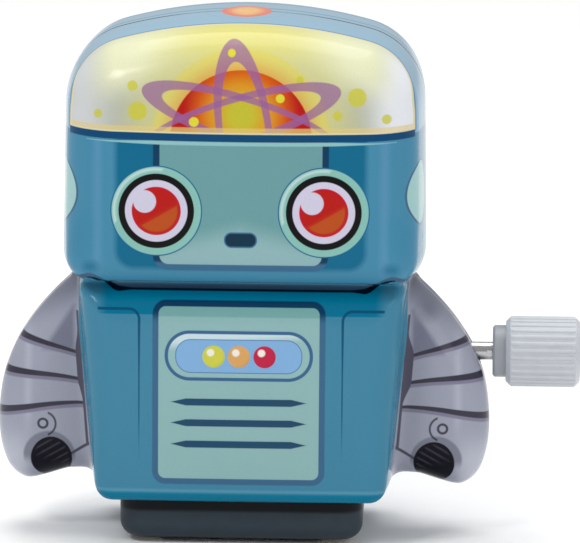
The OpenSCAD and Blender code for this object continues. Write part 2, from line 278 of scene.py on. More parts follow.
HEAD_W, HEAD_D, CROWN_Z, CROWN_R = 44.0, 30.0, 63.5, 58.0
SHOULDER_W, HEM_W, BODY_D = 40.4, 37.0, 25.0
NECK_Z, HEM_Z, HEAD_OVERLAP = 31.5, 5.2, 0.3
ARM_D = 11.6
SHEET = 0.35
SEAM = 0.04            # half the gap between the two halves
SEAM_TURN = 0.07       # how far the cut edges are turned in
SPARE = 1.2            # kept past the seam until the cut
DRAFT_R, HEAD_BACK_R = 65.0, 200.0
JAW_R, HEM_R, SHOULDER_R, TEMPLE_R = 4.0, 3.0, 2.0, 9.0
SHAFT_Z, SHAFT_HOLE, SHAFT_FROM_X = 22.0, 1.35, 24
TRAY_LAP = 0.45        # how far the sheet reaches in over the base
GRID_LOW, GRID_HIGH = (-31.0, -16.0, 4.0), (31.2, 16.2, 64.8)
FINE_STEP, QUICK_STEP = 0.45, 0.9


def arc(cx, cz, r, start, end, steps):
    """Points along a circle from start to end, in degrees."""
    return [(cx + r * math.cos(math.radians(start + (end - start) * i / steps)),
             cz + r * math.sin(math.radians(start + (end - start) * i / steps)))
            for i in range(steps + 1)]


def head_outline():
    """The right half of the head's outline: jaw, upper corner, and the shallow crown."""
    side, lean = HEAD_W / 2, 0.3
    cx = side - lean - TEMPLE_R
    cz = CROWN_Z - CROWN_R + math.sqrt((CROWN_R - TEMPLE_R) ** 2 - cx ** 2)
    angle = math.degrees(math.atan2(cz - CROWN_Z + CROWN_R, cx))
    jaw = NECK_Z - HEAD_OVERLAP
    return (arc(side - JAW_R, jaw + JAW_R, JAW_R, -90, 0, 12)
            + arc(cx, cz, TEMPLE_R, 0, angle, 16)
            + arc(0, CROWN_Z - CROWN_R, CROWN_R, angle, 90, 14))


def body_outline():
    """The right half of the body's outline: hem corner and shoulder."""
    return (arc(HEM_W / 2 - HEM_R, HEM_Z + HEM_R, HEM_R, -90, -5, 8)
            + arc(SHOULDER_W / 2 - SHOULDER_R, NECK_Z - 0.5, SHOULDER_R, 0, 90, 8))


def arm_outline():
    """A smooth curve through the arm's main points, from its foot up to the shoulder."""
    points = np.array([[21.5, 7.0], [25.6, 5.8], [27.2, 6], [28.6, 7.2], [29.4, 8.9],
                       [29.9, 11.2], [30, 14.3], [29.6, 17.8], [28.7, 20.9], [27.4, 23.6],
                       [25.5, 26.4], [23.2, 29], [20.9, 31.2]])
    ends = np.vstack([2 * points[0] - points[1], points, 2 * points[-1] - points[-2]])
    out = []
    for p0, p1, p2, p3 in zip(ends, ends[1:], ends[2:], ends[3:]):
        for t in np.arange(0, 1, 1 / 7):
            out.append(0.5 * (2 * p1 + (p2 - p0) * t + (2 * p0 - 5 * p1 + 4 * p2 - p3) * t * t
                              + (3 * p1 - p0 - 3 * p2 + p3) * t ** 3))
    return [(13, 7.4)] + [tuple(p) for p in out] + [(20.9, 31.2), (13, 31.2)]


class Plan:
    """Signed distance to a mirrored outline, tabled once over the upright plane."""
    X0, Z0, STEP = -1.0, 2.0, 0.15

    def __init__(self, half, mirrored):
        xs = np.arange(self.X0, 33, self.STEP)
        zs = np.arange(self.Z0, 67, self.STEP)
        x, z = np.meshgrid(xs, zs, indexing="ij")
        loop = half + ([(-a, b) for a, b in reversed(half)] if mirrored else [])
        away = np.full(x.shape, 1e9)
        inside = np.zeros(x.shape, bool)
        for (ax, az), (bx, bz) in zip(loop, loop[1:] + loop[:1]):
            ex, ez = bx - ax, bz - az
            t = np.clip(((x - ax) * ex + (z - az) * ez) / (ex * ex + ez * ez + 1e-12), 0, 1)
            away = np.minimum(away, (x - ax - t * ex) ** 2 + (z - az - t * ez) ** 2)
            if az != bz:
                inside ^= ((az > z) != (bz > z)) & (x < ex * (z - az) / ez + ax)
        self.table = np.where(inside, -1, 1) * np.sqrt(away)

    def __call__(self, x, z):
        u = (np.abs(x) - self.X0) / self.STEP
        v = (z - self.Z0) / self.STEP
        i = np.clip(u.astype(int), 0, self.table.shape[0] - 2)
        j = np.clip(v.astype(int), 0, self.table.shape[1] - 2)
        u, v, t = u - i, v - j, self.table
        return ((t[i, j] * (1 - u) + t[i + 1, j] * u) * (1 - v)
                + (t[i, j + 1] * (1 - u) + t[i + 1, j + 1] * u) * v)


def step_up(v, start, end):
    """0 up to start and 1 from end, smooth in between."""
    t = np.clip((v - start) / (end - start), 0, 1)
    return t * t * (3 - 2 * t)


def join(a, b, k):
    """The nearer of two distances, with the crease between them filled over about k."""
    h = np.clip(0.5 + 0.5 * (b - a) / k, 0, 1)
    return b + (a - b) * h - k * h * (1 - h)


class Skin:
    """The outside of the stamped body as a signed distance in millimetres."""

    def __init__(self):
        self.head = Plan(head_outline(), True)
        self.body = Plan(body_outline(), True)
        self.arm = Plan(arm_outline(), False)

    @staticmethod
    def puffed(outline, y, half, r, dome=0.0, back=DRAFT_R):
        """An outline filled out to half on both sides of the seam, with edges rounded by r."""
        a = outline + y * y / (2 * np.where(y > 0, back, DRAFT_R)) + r
        b = np.abs(y) - half + r + dome
        return (np.minimum(np.maximum(a, b), 0)
                + np.hypot(np.maximum(a, 0), np.maximum(b, 0)) - r)

    def __call__(self, p):
        x, y, z = p[..., 0], p[..., 1], p[..., 2]
        level = z + y * y / (2 * DRAFT_R)
        dome = 0.35 * (x / 20) ** 2 + 0.3 * ((z - 47) / 15) ** 2
        head = self.puffed(self.head(x, z), y, HEAD_D / 2, 3.0 + 2.0 * step_up(z, 33, 42), dome,
                           HEAD_BACK_R)
        dome = 0.3 * (x / 18) ** 2 + 0.12 * ((z - 18) / 12) ** 2
        body = self.puffed(self.body(x, level), y, BODY_D / 2, 1.3 + 2.1 * step_up(z, 6, 15), dome)
        arm = self.puffed(self.arm(x, z), y, ARM_D / 2, ARM_D / 2 - 1.2)
        return join(join(body, arm, 1.6), head, 0.7)

    def gradient(self, p, h=0.06):
        """How fast the distance grows along each axis, from samples h apart."""
        parts = []
        for axis in range(3):
            d = np.zeros(3)
            d[axis] = h
            parts.append((self(p + d) - self(p - d)) / (2 * h))
        return np.stack(parts, -1)


def net(field, low, step):
    """Vertices and quads of the surface where field changes sign on a regular grid."""
    inside = field < 0
    count = np.zeros([n - 1 for n in field.shape])
    total = np.zeros(count.shape + (3,))
    shape = np.array(field.shape)
    edges = []
    for axis in range(3):
        a = [slice(None)] * 3
        b = [slice(None)] * 3
        a[axis], b[axis] = slice(None, -1), slice(1, None)
        fa, fb = field[tuple(a)], field[tuple(b)]
        at = np.argwhere(inside[tuple(a)] != inside[tuple(b)])
        va, vb = fa[tuple(at.T)], fb[tuple(at.T)]
        point = at.astype(float)
        point[:, axis] += va / (va - vb)
        others = [o for o in range(3) if o != axis]
        for du in (0, -1):
            for dv in (0, -1):
                cell = at.copy()
                cell[:, others[0]] += du
                cell[:, others[1]] += dv
                good = np.all((cell >= 0) & (cell < shape - 1), 1)
                np.add.at(count, tuple(cell[good].T), 1)
                np.add.at(total, tuple(cell[good].T), point[good])
        edges.append((axis, others, at, va < 0))
    used = np.argwhere(count > 0)
    index = np.full(count.shape, -1)
    index[tuple(used.T)] = np.arange(len(used))
    vertices = total[tuple(used.T)] / count[tuple(used.T)][:, None] * step + low
    quads = []
    for axis, others, at, first_in in edges:
        corners = []
        for du, dv in ((0, 0), (-1, 0), (-1, -1), (0, -1)):
            cell = at.copy()
            cell[:, others[0]] += du
            cell[:, others[1]] += dv
            corners.append(index[tuple(cell.T)])
        q = np.stack(corners, 1)
        turn = first_in if axis != 1 else ~first_in
        q[~turn] = q[~turn][:, ::-1]
        quads.append(q)
    return vertices, np.vstack(quads)


def skin_mesh(skin, step):
    """Points and quads on the skin: a surface net, then three steps onto the true surface."""
    low = np.array(GRID_LOW)
    axes = [np.arange(start + 0.5 * step, stop, step)
            for start, stop in zip(GRID_LOW, GRID_HIGH)]
    grid = np.stack(np.meshgrid(*axes, indexing="ij"), -1)
    field = skin(grid)
    points, quads = net(field, low + 0.5 * step, step)
    for _ in range(3):
        slope = skin.gradient(points)
        size = np.maximum((slope ** 2).sum(1), 0.05)
        points = points - np.clip(skin(points) / size, -0.4, 0.4)[:, None] * slope
    return points, quads


def cut(mesh, faces, point, normal, clear=False):
    """Cuts faces along a plane, and can clear what lies on the side of its normal."""
    geometry = list({e for f in faces for e in (f, *f.edges, *f.verts)})
    return bmesh.ops.bisect_plane(mesh, geom=geometry, dist=1e-5, plane_co=point,
                                  plane_no=normal, clear_outer=clear)


def half_skin(name, points, quads, skin, side):
    """One stamped half: side -1 is the front and 1 the back."""
    data = bpy.data.meshes.new(name)
    near = points[:, 1] * side > -SPARE
    keep = near[quads].all(1)
    used = np.unique(quads[keep])
    place = np.full(len(points), -1)
    place[used] = np.arange(len(used))
    data.from_pydata(points[used].tolist(), [], place[quads[keep]].tolist())
    mesh = bmesh.new()
    mesh.from_mesh(data)
    cut(mesh, mesh.faces[:], (0, side * SEAM, 0), (0, -side, 0), clear=True)
    cut(mesh, [f for f in mesh.faces if abs(f.calc_center_median().y) < 1],
        (0, side * 0.3, 0), (0, -side, 0))
    # the opening that the base stands in
    tray_low, tray_high = mm_box("base_tray")
    reach = (tray_high[:2] - tray_low[:2]) / 2 - TRAY_LAP
    for axis in (0, 1):
        for sign in (-1, 1):
            normal = [0, 0, 0]
            normal[axis] = sign
            at = [0, 0, 0]
            at[axis] = sign * reach[axis]
            under = [f for f in mesh.faces if f.calc_center_median().z < HEM_Z + 0.3
                     and abs(f.calc_center_median().x) < HEM_W / 2 - 1.5]
            cut(mesh, under, at, normal)
    gone = [f for f in mesh.faces
            if f.calc_center_median().z < HEM_Z + 0.3
            and abs(f.calc_center_median().x) < reach[0]
            and abs(f.calc_center_median().y) < reach[1]]
    bmesh.ops.delete(mesh, geom=gone, context="FACES")
    # the notch for the winding arbor
    def off_shaft(v):
        return math.hypot(v.co.y, v.co.z - SHAFT_Z)
    gone = [f for f in mesh.faces if f.calc_center_median().x > SHAFT_FROM_X
            and any(off_shaft(v) < SHAFT_HOLE * 0.97 for v in f.verts)]
    rim = {v for f in gone for v in f.verts}
    bmesh.ops.delete(mesh, geom=gone, context="FACES")
    rim = [v for v in rim if v.is_valid and v.link_faces]
    for v in rim:
        if abs(v.co.y) < SEAM * 1.5:
            v.co.z = SHAFT_Z + math.copysign(math.sqrt(SHAFT_HOLE ** 2 - v.co.y ** 2),
                                             v.co.z - SHAFT_Z)
        else:
            scale = SHAFT_HOLE / off_shaft(v)
            v.co.y *= scale
            v.co.z = SHAFT_Z + (v.co.z - SHAFT_Z) * scale
    spots = np.array([v.co for v in rim])
    for _ in range(3):
        spots[:, 0] -= np.clip(skin(spots) / np.maximum(skin.gradient(spots)[:, 0], 0.3),
                               -0.3, 0.3)
    for v, spot in zip(rim, spots):
        v.co = spot
    # the cut edge of each half is turned in a little
    edge = [v for v in mesh.verts if abs(v.co.y) < SEAM * 1.5]
    outward = skin.gradient(np.array([v.co for v in edge]))
    outward[:, 1] = 0
    outward /= np.maximum(np.linalg.norm(outward, axis=1), 1e-6)[:, None]
    for v, n in zip(edge, outward):
        v.co -= Vector(n) * SEAM_TURN
    for v in mesh.verts:
        v.co *= MM
    bmesh.ops.recalc_face_normals(mesh, faces=mesh.faces[:])
    # the highest face has to look up
    top = max(mesh.faces, key=lambda f: f.calc_center_median().z)
    if top.normal.z < 0:
        bmesh.ops.reverse_faces(mesh, faces=mesh.faces[:])
    for f in mesh.faces:
        f.smooth = True
    mesh.to_mesh(data)
    mesh.free()
    data.update()
    piece = bpy.data.objects.new(name, data)
    bpy.context.scene.collection.objects.link(piece)
    return piece


def sheet_metal(piece, outside, inside):
    """Gives a skin its thickness, inward, with a material for each side."""
    piece.data.materials.append(outside)
    piece.data.materials.append(inside)
    solid = piece.modifiers.new("sheet", "SOLIDIFY")
    solid.thickness = SHEET * MM
    solid.offset = -1
    solid.material_offset = 1
    solid.material_offset_rim = 1


# ---------------------------------------------------------------- printed artwork

TEAL = ink_rgb(6, 104, 138)
MID = ink_rgb(72, 136, 166)
NAVY = ink_rgb(8, 62, 92)
SLATE = ink_rgb(64, 104, 136)
AQUA_PALE = ink_rgb(146, 184, 184)
SKY = ink_rgb(142, 178, 200)
LILAC = ink_rgb(157, 160, 175)
DARK = ink_rgb(40, 38, 50)

EYE_X, EYE_SHIFT, EYE_Z = 9.95, -0.08, 41.35
PANEL_X = -0.22
EAR_Y, EAR_Z, EAR_R = 8.8, 43.1, 3.75


def zones(s):
    """Distance to the side, height, and signed distances to the neck line and the torso."""
    x, z = abs(s.x), s.z
    neck = z - (31.08 + 1.8 * x.rise(14.6, 18.2) - 0.6 * x.rise(18.2, 20.0))
    torso = x - (18.06 + (z - 7.7) * 0.103).low(19.9)
    return x, z, neck, torso


def arm_print(s, paint, x, z, hand):
    """Painted shade on the upper arm, three stripes and the torso's painted shadow; the front has
    hands as well, with a painted sheen on each palm and a painted shade spot on the right arm's
    top.
    """
    # painted shade: the upper, outer part of each arm is printed darker
    paint.over(ink_rgb(108, 111, 126), (z + x * 0.5).rise(37.0, 41.5) * 0.9)
    paint.over(ink_rgb(188, 191, 204), x.rise(24.8, 28.0) * z.rise(14.0, 9.0) * 0.85)
    paint.over(ink_rgb(184, 187, 201), inked(abs(x - 26.1) - 0.3, 0.9) * z.rise(26.0, 23.0)
               * z.rise(11.0, 16.0) * 0.6)
    near = 18.62 + (z - 10.5) * 0.08
    swell = 0.45 + 0.4 * s.x.sign().high(0.0)
    far = 18.97 + (z - 10.5) * 0.075 + swell * abs(z - 20.8).rise(4.6, 1.5)
    band = (near - x).high(x - far).high(10.9 - z).high(z - 27.5)
    # painted shadow: a darker patch on the upper arm beside the torso, as if cast by it
    torso_shadow = (x - 21.3 - (27.0 - z) * 0.66).high(20.4 - x).high(22.6 - z).high(z - 28.0)
    paint.over(ink_rgb(112, 115, 133), inked(torso_shadow, 0.8) * 0.8)
    for base, slope, end in ((22.25, 0.215, 27.7), (19.02, 0.07, 29.6), (16.08, -0.144, 30.5)):
        along = x - 20.0
        line = z - (base + along * slope) - 0.012 * along * (9.0 - along)
        wide = 0.21 + along * 0.022
        cap = (19.3 - x).high(x - end)
        paint.over(ink_rgb(128, 126, 146), inked((abs(line + 0.42) - wide).high(cap), 0.16))
        paint.over(ink_rgb(66, 64, 76), inked((abs(line) - wide).high(cap), 0.12))
    paint.over(ink_rgb(82, 80, 96), inked(band, 0.12))
    if hand:
        # painted shade: a soft darker spot on the right arm's top, where the lamp's highlight falls
        paint.over(ink_rgb(112, 115, 128), inked(disc(s.x, z, 22.4, 28.0, 1.2), 1.6) * 0.7)
        halo = ellipse(x, z, 23.55, 9.35, 3.15, 3.1, 0)
        paint.over(ink_rgb(124, 126, 140), inked(halo, 0.25) * z.rise(8.0, 9.6))
        ring = abs(disc(x, z, 24.3, 13.4, 0.55)) - 0.15
        paint.over(DARK, inked(ring, 0.1) * 0.85)
        sweep = (abs(disc(x, z, 24.2, 13.35, 1.45)) - 0.13).high(x - 23.7)
        paint.over(DARK, inked(sweep, 0.1) * 0.8)
        wrist = (abs(z - (11.05 - (x - 18.7) * 0.68)) - 0.22).high(18.62 - x).high(x - 21.3)
        paint.over(ink_rgb(82, 80, 96), inked(wrist, 0.12))
        palm = ellipse(x, z, 23.3, 9.0, 2.5, 2.75, 0)
        paint.over(ink_rgb(26, 24, 34), inked(palm, 0.12))
        # painted sheen: paler diagonal streaks over the upper part of each black palm
        hatch = ((x * 0.6 + z) * 6.5).sine()
        paint.over(ink_rgb(84, 80, 92), inked(palm + 0.35, 0.3) * hatch.rise(0.1, 1.0)
                   * (z - x * 0.4).rise(-1.2, 0.4) * 0.4)


def eye_print(s, paint):
    """Both eyes: outline, cup, black ring, white, iris and its two highlights."""
    side = s.x.sign()
    ex, ez = s.x - (side * EYE_X + EYE_SHIFT), s.z - EYE_Z
    far = length(ex, ez)
    paint.over(ink_rgb(30, 98, 140), inked(far - 5.46, 0.1))
    paint.over(ink_rgb(134, 186, 176), inked(far - 5.32, 0.1))
    glint = (abs(far - 5.02) - 0.16).high(ex * 0.8 - ez * 0.7 + 2.9)
    paint.over(ink_rgb(190, 214, 212), inked(glint, 0.3) * 0.9)
    paint.over(ink_rgb(12, 10, 24), inked(far - 4.5, 0.1))
    paint.over(ink_rgb(202, 198, 218), inked(far - 3.72, 0.1))
    paint.over(ink_rgb(188, 26, 52), inked(far - 2.92, 0.1))
    paint.over(ink_rgb(180, 34, 30), inked(far - 2.72, 0.3))
    paint.over(ink_rgb(180, 60, 30), inked((far - 2.66).high(ez - ex * 0.58 + 0.55), 0.5) * 0.6)
    paint.over(ink_rgb(182, 80, 36), inked((far - 2.5).high(ez - ex * 0.58 + 0.8), 0.14))
    paint.over(ink_rgb(202, 198, 218), inked(disc(ex, ez, -1.38, 1.12, 1.36), 0.12))
    gap = (far - 3.2).high(abs(ex * 0.63 + ez * 0.77) - 0.9).high(ex + 1.4).high(-ez)
    paint.over(ink_rgb(202, 198, 218), inked(gap, 0.2))


def visor_edge(z):
    """How far in front of the seam, or behind it, the crown band ends."""
    return 8.1 + 3.0 * z.rise(60.6, 53.6)


def visor_print(s, paint, x, z):
    """A pale visor with a plain atom emblem: a glowing core, three orbits, electrons."""
    sx = s.x
    limit = visor_edge(z)
    brow = 50.65 + 0.0008 * sx * sx
    front = (s.y + limit) * 0.42
    inside = front.high(brow - z)
    paint.over(ink_rgb(96, 140, 182), inked(inside - 0.16, 0.1))
    paint.over(ink_rgb(222, 212, 160), inked(inside, 0.08))
    field = s.paint(ink_rgb(180, 184, 172))
    # painted reflection: the visor is paler towards both side edges, where they curve away
    field.over(ink_rgb(204, 207, 208), x.rise(14.0, 19.5))
    # painted light: the right side is whiter still, as if lit more from that side
    field.over(ink_rgb(228, 231, 236), sx.rise(13.0, 19.5))
    field.over(ink_rgb(220, 222, 186), (z + x * 0.12).rise(55.0, 60.0) * x.rise(19.5, 15.0))
    # painted shade: the lower middle of the visor is darker
    field.over(ink_rgb(172, 176, 152), x.rise(18.0, 11.0) * z.rise(57.0, 51.0) * 0.7)
    field.over(ink_rgb(200, 198, 138), length(sx * 0.85, z - 52.0).rise(13.5, 8.8) * 0.85)
    field.over(ink_rgb(216, 210, 124), x.rise(14.0, 2.0) * z.rise(58.0, 61.5) * 0.9)
    core = length(sx, z - 50.2)
    halo = s.paint(ink_rgb(214, 202, 96)).over(ink_rgb(216, 160, 60), core.rise(10.2, 7.9))
    field.over(halo.colour, core.rise(10.9, 10.1) * 0.75)
    for cx, cz, r in ((-12.3, 53.3, 1.1), (-17.0, 52.9, 0.52), (13.7, 55.2, 1.1),
                      (17.2, 52.6, 0.58), (-12.9, 56.3, 0.6), (11.4, 53.0, 0.55),
                      (6.9, 57.2, 0.45)):
        field.over(ink_rgb(198, 194, 58), inked(disc(sx, z, cx, cz, r), 0.14) * 0.85)
    ball = s.paint(ink_rgb(190, 184, 58))
    heart = length(sx, z - 53.0)
    ball.over(ink_rgb(212, 150, 44), heart.rise(1.0, 3.4))
    ball.over(ink_rgb(204, 88, 34), heart.rise(3.0, 5.6))
    ball.over(ink_rgb(178, 34, 32), (heart + x * 0.3).rise(6.2, 9.2))
    field.over(ball.colour, inked(disc(sx, z, 0.0, 49.9, 8.4), 0.12))
    for cx, cz, a, b, turn, shift in ((0, 52.4, 12.3, 3.0, -17, -1), (0, 52.4, 12.3, 3.0, 17, 1),
                                      (0.3, 51.6, 10.2, 3.3, 98, 1)):
        c, q = math.cos(math.radians(turn)), math.sin(math.radians(turn))
        outer = ellipse(sx, z, cx, cz, a, b, turn)
        inner = ellipse(sx, z, cx - shift * 0.9 * c, cz - shift * 0.9 * q, a - 1.6, b - 0.8,
                        turn)
        field.over(ink_rgb(148, 96, 148), inked(outer.high(-inner), 0.12) * 0.78)
    for cx, cz, r in ((-5.6, 52.1, 0.58), (4.6, 55.0, 0.52), (-1.2, 60.2, 0.45)):
        field.over(ink_rgb(216, 208, 62), inked(disc(sx, z, cx, cz, r), 0.14))
    field.over(ink_rgb(222, 196, 120), inked((z - brow) - 0.75, 0.12) * 0.6)
    paint.over(field.colour, inked(inside + 0.18, 0.08))
    below = z - brow
    paint.over(ink_rgb(10, 72, 112), inked((abs(below + 0.45) - 0.42).high(front), 0.1))
    taper = 0.4 * x.rise(18.8, 9.0) + 0.02
    line = (abs(below + 1.15) - taper * 0.5 - 0.02).high(x - 18.4)
    paint.over(ink_rgb(140, 188, 190), inked(line, 0.12))


def face_print(s, paint, x, z):
    """Head front: side panels, face plate, eyes and mouth."""
    deep = plate(x, z, 0.0, 44.0, 14.9, 9.7, 2.2).high(z - 50.2)
    paint.over(TEAL, inked(deep, 0.8))
    # painted reflection: a paler upright streak near each side edge of the head's front
    paint.over(ink_rgb(98, 148, 184), inked(abs(x - 17.05) - 0.5, 0.7) * z.rise(32.5, 35.0)
               * z.rise(50.4, 49.6) * 0.45)
    # painted shade: a soft darker teal spot at each lower corner of the head, above the end of the
    # neck line
    jaw_corner_shade = plate(x, z, 17.9, 34.4, 0.9, 0.6, 0.6)
    paint.over(TEAL, inked(jaw_corner_shade, 1.0) * 0.6)
    card = plate(s.x, z, 0.0, 43.75, 9.65, 8.85, 1.1)
    edge = s.paint(NAVY).over(ink_rgb(64, 106, 138), z.rise(35.4, 34.9))
    paint.over(edge.colour, inked((card - 0.78).high(z - 50.1), 0.12))
    fill = s.paint(ink_rgb(107, 154, 157)).over(ink_rgb(141, 177, 180),
                                                (z + abs(s.x) * 0.25).rise(41.0, 37.5))
    paint.over(fill.colour, inked(card.high(z - 49.6), 0.12))
    eye_print(s, paint)
    mouth = plate(s.x, z, 0.0, 37.95, 1.97, 0.95, 0.9)
    paint.over(ink_rgb(62, 108, 146), inked(mouth, 0.1))
    paint.over(ink_rgb(14, 54, 72), inked(mouth + 0.17, 0.12))


def chest_print(s, paint, z):
    """The panel on the chest: a window with three lamps over three slots."""
    cx, sx = PANEL_X, s.x
    box = plate(sx, z, cx, 18.78, 9.65, 10.48, 0.85)
    line = s.paint(SLATE).over(NAVY, z.rise(27.4, 28.8))
    paint.over(line.colour, inked(box - 0.72, 0.14))
    fill = s.paint(ink_rgb(142, 180, 180)).over(ink_rgb(118, 166, 164), inked(28.1 - z, 0.2))
    paint.over(fill.colour, inked(box, 0.1))
    rim = plate(sx, z, cx, 23.4, 8.9, 3.06, 3.0)
    paint.over(ink_rgb(62, 102, 142), inked(rim, 0.1))
    metal = s.paint(AQUA_PALE).over(ink_rgb(200, 220, 224), (z - sx * 0.08).rise(24.4, 25.9))
    paint.over(metal.colour, inked(rim + 0.41, 0.1))
    glass = plate(sx, z, cx, 23.35, 7.62, 2.07, 1.9)
    paint.over(ink_rgb(78, 120, 172), inked(glass, 0.08))
    paint.over(ink_rgb(130, 174, 216), inked(glass + 0.1, 0.08))
    for at, colour in ((-3.24, (204, 204, 78)), (-0.21, (216, 164, 100)), (2.87, (190, 44, 74))):
        lamp = disc(sx, z, at, 23.32, 1.34)
        paint.over(ink_rgb(*colour), inked(lamp, 0.1))
        paint.over(ink_rgb(*(c * 0.86 for c in colour)),
                   inked(lamp, 0.1) * disc(sx, z, at - 0.3, 23.7, 1.3).rise(0.0, 0.7) * 0.6)
        paint.over(ink_rgb(238, 234, 220), inked(disc(sx, z, at - 0.37, 23.79, 0.45), 0.16))
    for at in (17.72, 15.17, 12.55):
        away = 8.15 - abs(sx - cx)
        wide = 0.43 * (away * 0.55).low(1.0)
        paint.over(ink_rgb(40, 76, 104), inked(abs(z - at) - wide, 0.1))


def torso_print(s, x, z):
    """Both sides of the body share this: the darker shoulder yoke with its top painted lighter as
    painted light, tapered outlines, and the bottom lip with its painted highlight and painted
    shade.
    """
    cloth = s.paint(ink_rgb(69, 132, 160))
    yoke = (28.3 - z).high(x - 17.6)
    # the yoke is darker than the cloth; its top is painted lighter, painted light where the head's
    # shadow falls
    shade = s.paint(ink_rgb(6, 114, 146)).over(ink_rgb(4, 138, 174), z.rise(29.4, 31.2))
    cloth.over(shade.colour, inked(yoke, 0.12) * x.rise(17.7, 15.9))
    seam = plate(x, z, 32.2, 8.0, 20.0, 20.9, 1.2)
    thin = 0.08 + 0.08 * z.rise(20.0, 28.0)
    cloth.over(ink_rgb(26, 80, 112), inked((abs(seam) - thin).high(x - 17.2), 0.1)
               * z.rise(9.0, 19.0) * 0.95)
    # painted highlight: a pale line along the rounded bottom edge of the body
    cloth.over(ink_rgb(112, 172, 194), inked(abs(z - 6.75) - 0.06, 0.5) * 0.6)
    # painted shade: a darker teal band below it, where the edge turns under
    cloth.over(ink_rgb(10, 120, 152), inked(z - 6.45, 0.3))
    return cloth


def back_vent_print(s, body, z):
    """A rounded hatch with five slots on the back of the torso."""
    hatch = plate(s.x, z, 0.0, 17.4, 8.6, 8.2, 1.4)
    body.over(NAVY, inked(abs(hatch) - 0.3, 0.12))
    body.over(ink_rgb(96, 152, 172), inked(hatch + 0.3, 0.12))
    for at in (22.2, 19.8, 17.4, 15.0, 12.6):
        away = 6.4 - abs(s.x)
        body.over(ink_rgb(40, 76, 104), inked(abs(z - at) - 0.42 * (away * 0.6).low(1.0), 0.1))


def back_grille_print(s, head, z):
    """A plain panel with five upright slots on the back of the head."""
    panel = plate(s.x, z, 0.0, 42.5, 12.5, 6.4, 2.0)
    head.over(TEAL, inked(panel - 2.4, 0.8))
    head.over(NAVY, inked(abs(panel) - 0.35, 0.12))
    head.over(ink_rgb(96, 152, 172), inked(panel + 0.35, 0.12))
    for at in (-8.0, -4.0, 0.0, 4.0, 8.0):
        slot = plate(s.x, z, at, 42.5, 0.55, 4.0, 0.5)
        head.over(ink_rgb(40, 76, 104), inked(slot, 0.1))


def ear_print(s, head, x, z):
    """A disc on each side of the head, in front of the seam and behind it."""
    ear = disc(abs(s.y), z, EAR_Y, EAR_Z, EAR_R).high(18.5 - x)
    head.over(ink_rgb(70, 104, 132), inked(ear - 0.28, 0.1))
    head.over(ink_rgb(160, 200, 200), inked(ear, 0.1))


def crown_print(s, head, x, z, front):
    """The pale band over the crown, what borders it, the seam's line and the spot on top."""
    depth = abs(s.y)
    limit = visor_edge(z)
    crown = (50.6 - z).high(depth - limit)
    head.over(SKY, inked(crown, 0.25))
    if front:
        visor_print(s, head, x, z)
    else:
        rear = (limit - depth).high(50.7 - z)
        head.over(ink_rgb(96, 140, 182), inked(rear * 0.45 - 0.1, 0.1))
        head.over(ink_rgb(108, 164, 194), inked(rear * 0.45 + 0.1, 0.1))
        head.over(ink_rgb(10, 72, 112), inked((abs(z - 50.3) - 0.4).high(limit - depth), 0.1))
        head.over(ink_rgb(62, 146, 176), inked((abs(s.y - 2.5) - 0.5).high(51.0 - z), 0.3) * 0.8)
    head.over(ink_rgb(44, 74, 98), inked((depth - 0.34).high(36.0 - z), 0.12)
              * (0.45 + 0.5 * x.rise(5.0, 11.0)))
    spot = ellipse(s.x, s.y, 0.0, 0.0, 3.06, 4.6, 0).high(60.0 - z)
    groove = ellipse(s.x, s.y, 0.0, 0.0, 4.9, 5.6, 0).high(60.0 - z)
    head.over(ink_rgb(120, 158, 184), inked(abs(groove) - 0.05, 0.08) * 0.7)
    head.over(ink_rgb(226, 112, 84), inked(spot, 0.1))
    head.over(ink_rgb(238, 184, 110), (-spot).rise(0.3, 2.2))


def neck_print(paint, x, neck):
    """The neck line: slate above, nearly black in the crease."""
    line = abs(neck - 0.3) - 0.34
    paint.over(ink_rgb(70, 98, 124), inked(line.high(x - 19.9), 0.14))
    crease = abs(neck + 0.02) - (0.12 + 0.2 * x.rise(13.0, 15.5) * x.rise(18.2, 16.6))
    paint.over(ink_rgb(10, 34, 50), inked(crease.high(x - 18.4), 0.12))


def tin_surface(name, front):
    """The varnished print of one half: arms, then the torso over them, then the head."""
    s = Surface(name)
    x, z, neck, torso = zones(s)
    paint = s.paint(LILAC)
    arm_print(s, paint, x, z, hand=front)
    paint.over(ink_rgb(70, 74, 90), inked((abs(s.y) - 0.3).high(19.0 - z), 0.12) * 0.75)
    body = torso_print(s, x, z)
    head = s.paint(MID)
    if front:
        chest_print(s, body, z)
        face_print(s, head, x, z)
    else:
        back_vent_print(s, body, z)
        back_grille_print(s, head, z)
    paint.over(body.colour, inked(torso, 0.12))
    ear_print(s, head, x, z)
    crown_print(s, head, x, z, front)
    paint.over(head.colour, inked(-neck, 0.1))
    neck_print(paint, x, neck)
    grain = s.noise(7.0, 2.0, 0.7)
    lay(s, paint, 0.89 + 0.18 * grain + 0.05 * s.noise(0.12, 3.0))
    scuff = s.noise(0.6, 5.0, 0.6).rise(0.58, 0.75)
    s.set(Roughness=0.15 + 0.1 * scuff, Specular_IOR_Level=0.13)
    s.bump(s.noise(0.22, 2.0), 0.25, 0.25)
    return s.material


def bare_tin():
    """The unprinted inner side of the sheets."""
    s = Surface("bare_tin")
    grain = s.noise(1.5, 4.0, 0.6, stretch=(1, 1, 6))
    paint = s.paint(linear_rgb(150, 150, 146)).over(linear_rgb(184, 182, 172), grain)
    lay(s, paint, 0.85 + 0.2 * s.noise(0.3))
    s.set(Metallic=0.9, Roughness=0.34 + 0.2 * grain)
    return s.material


# ---------------------------------------------------------------- other materials

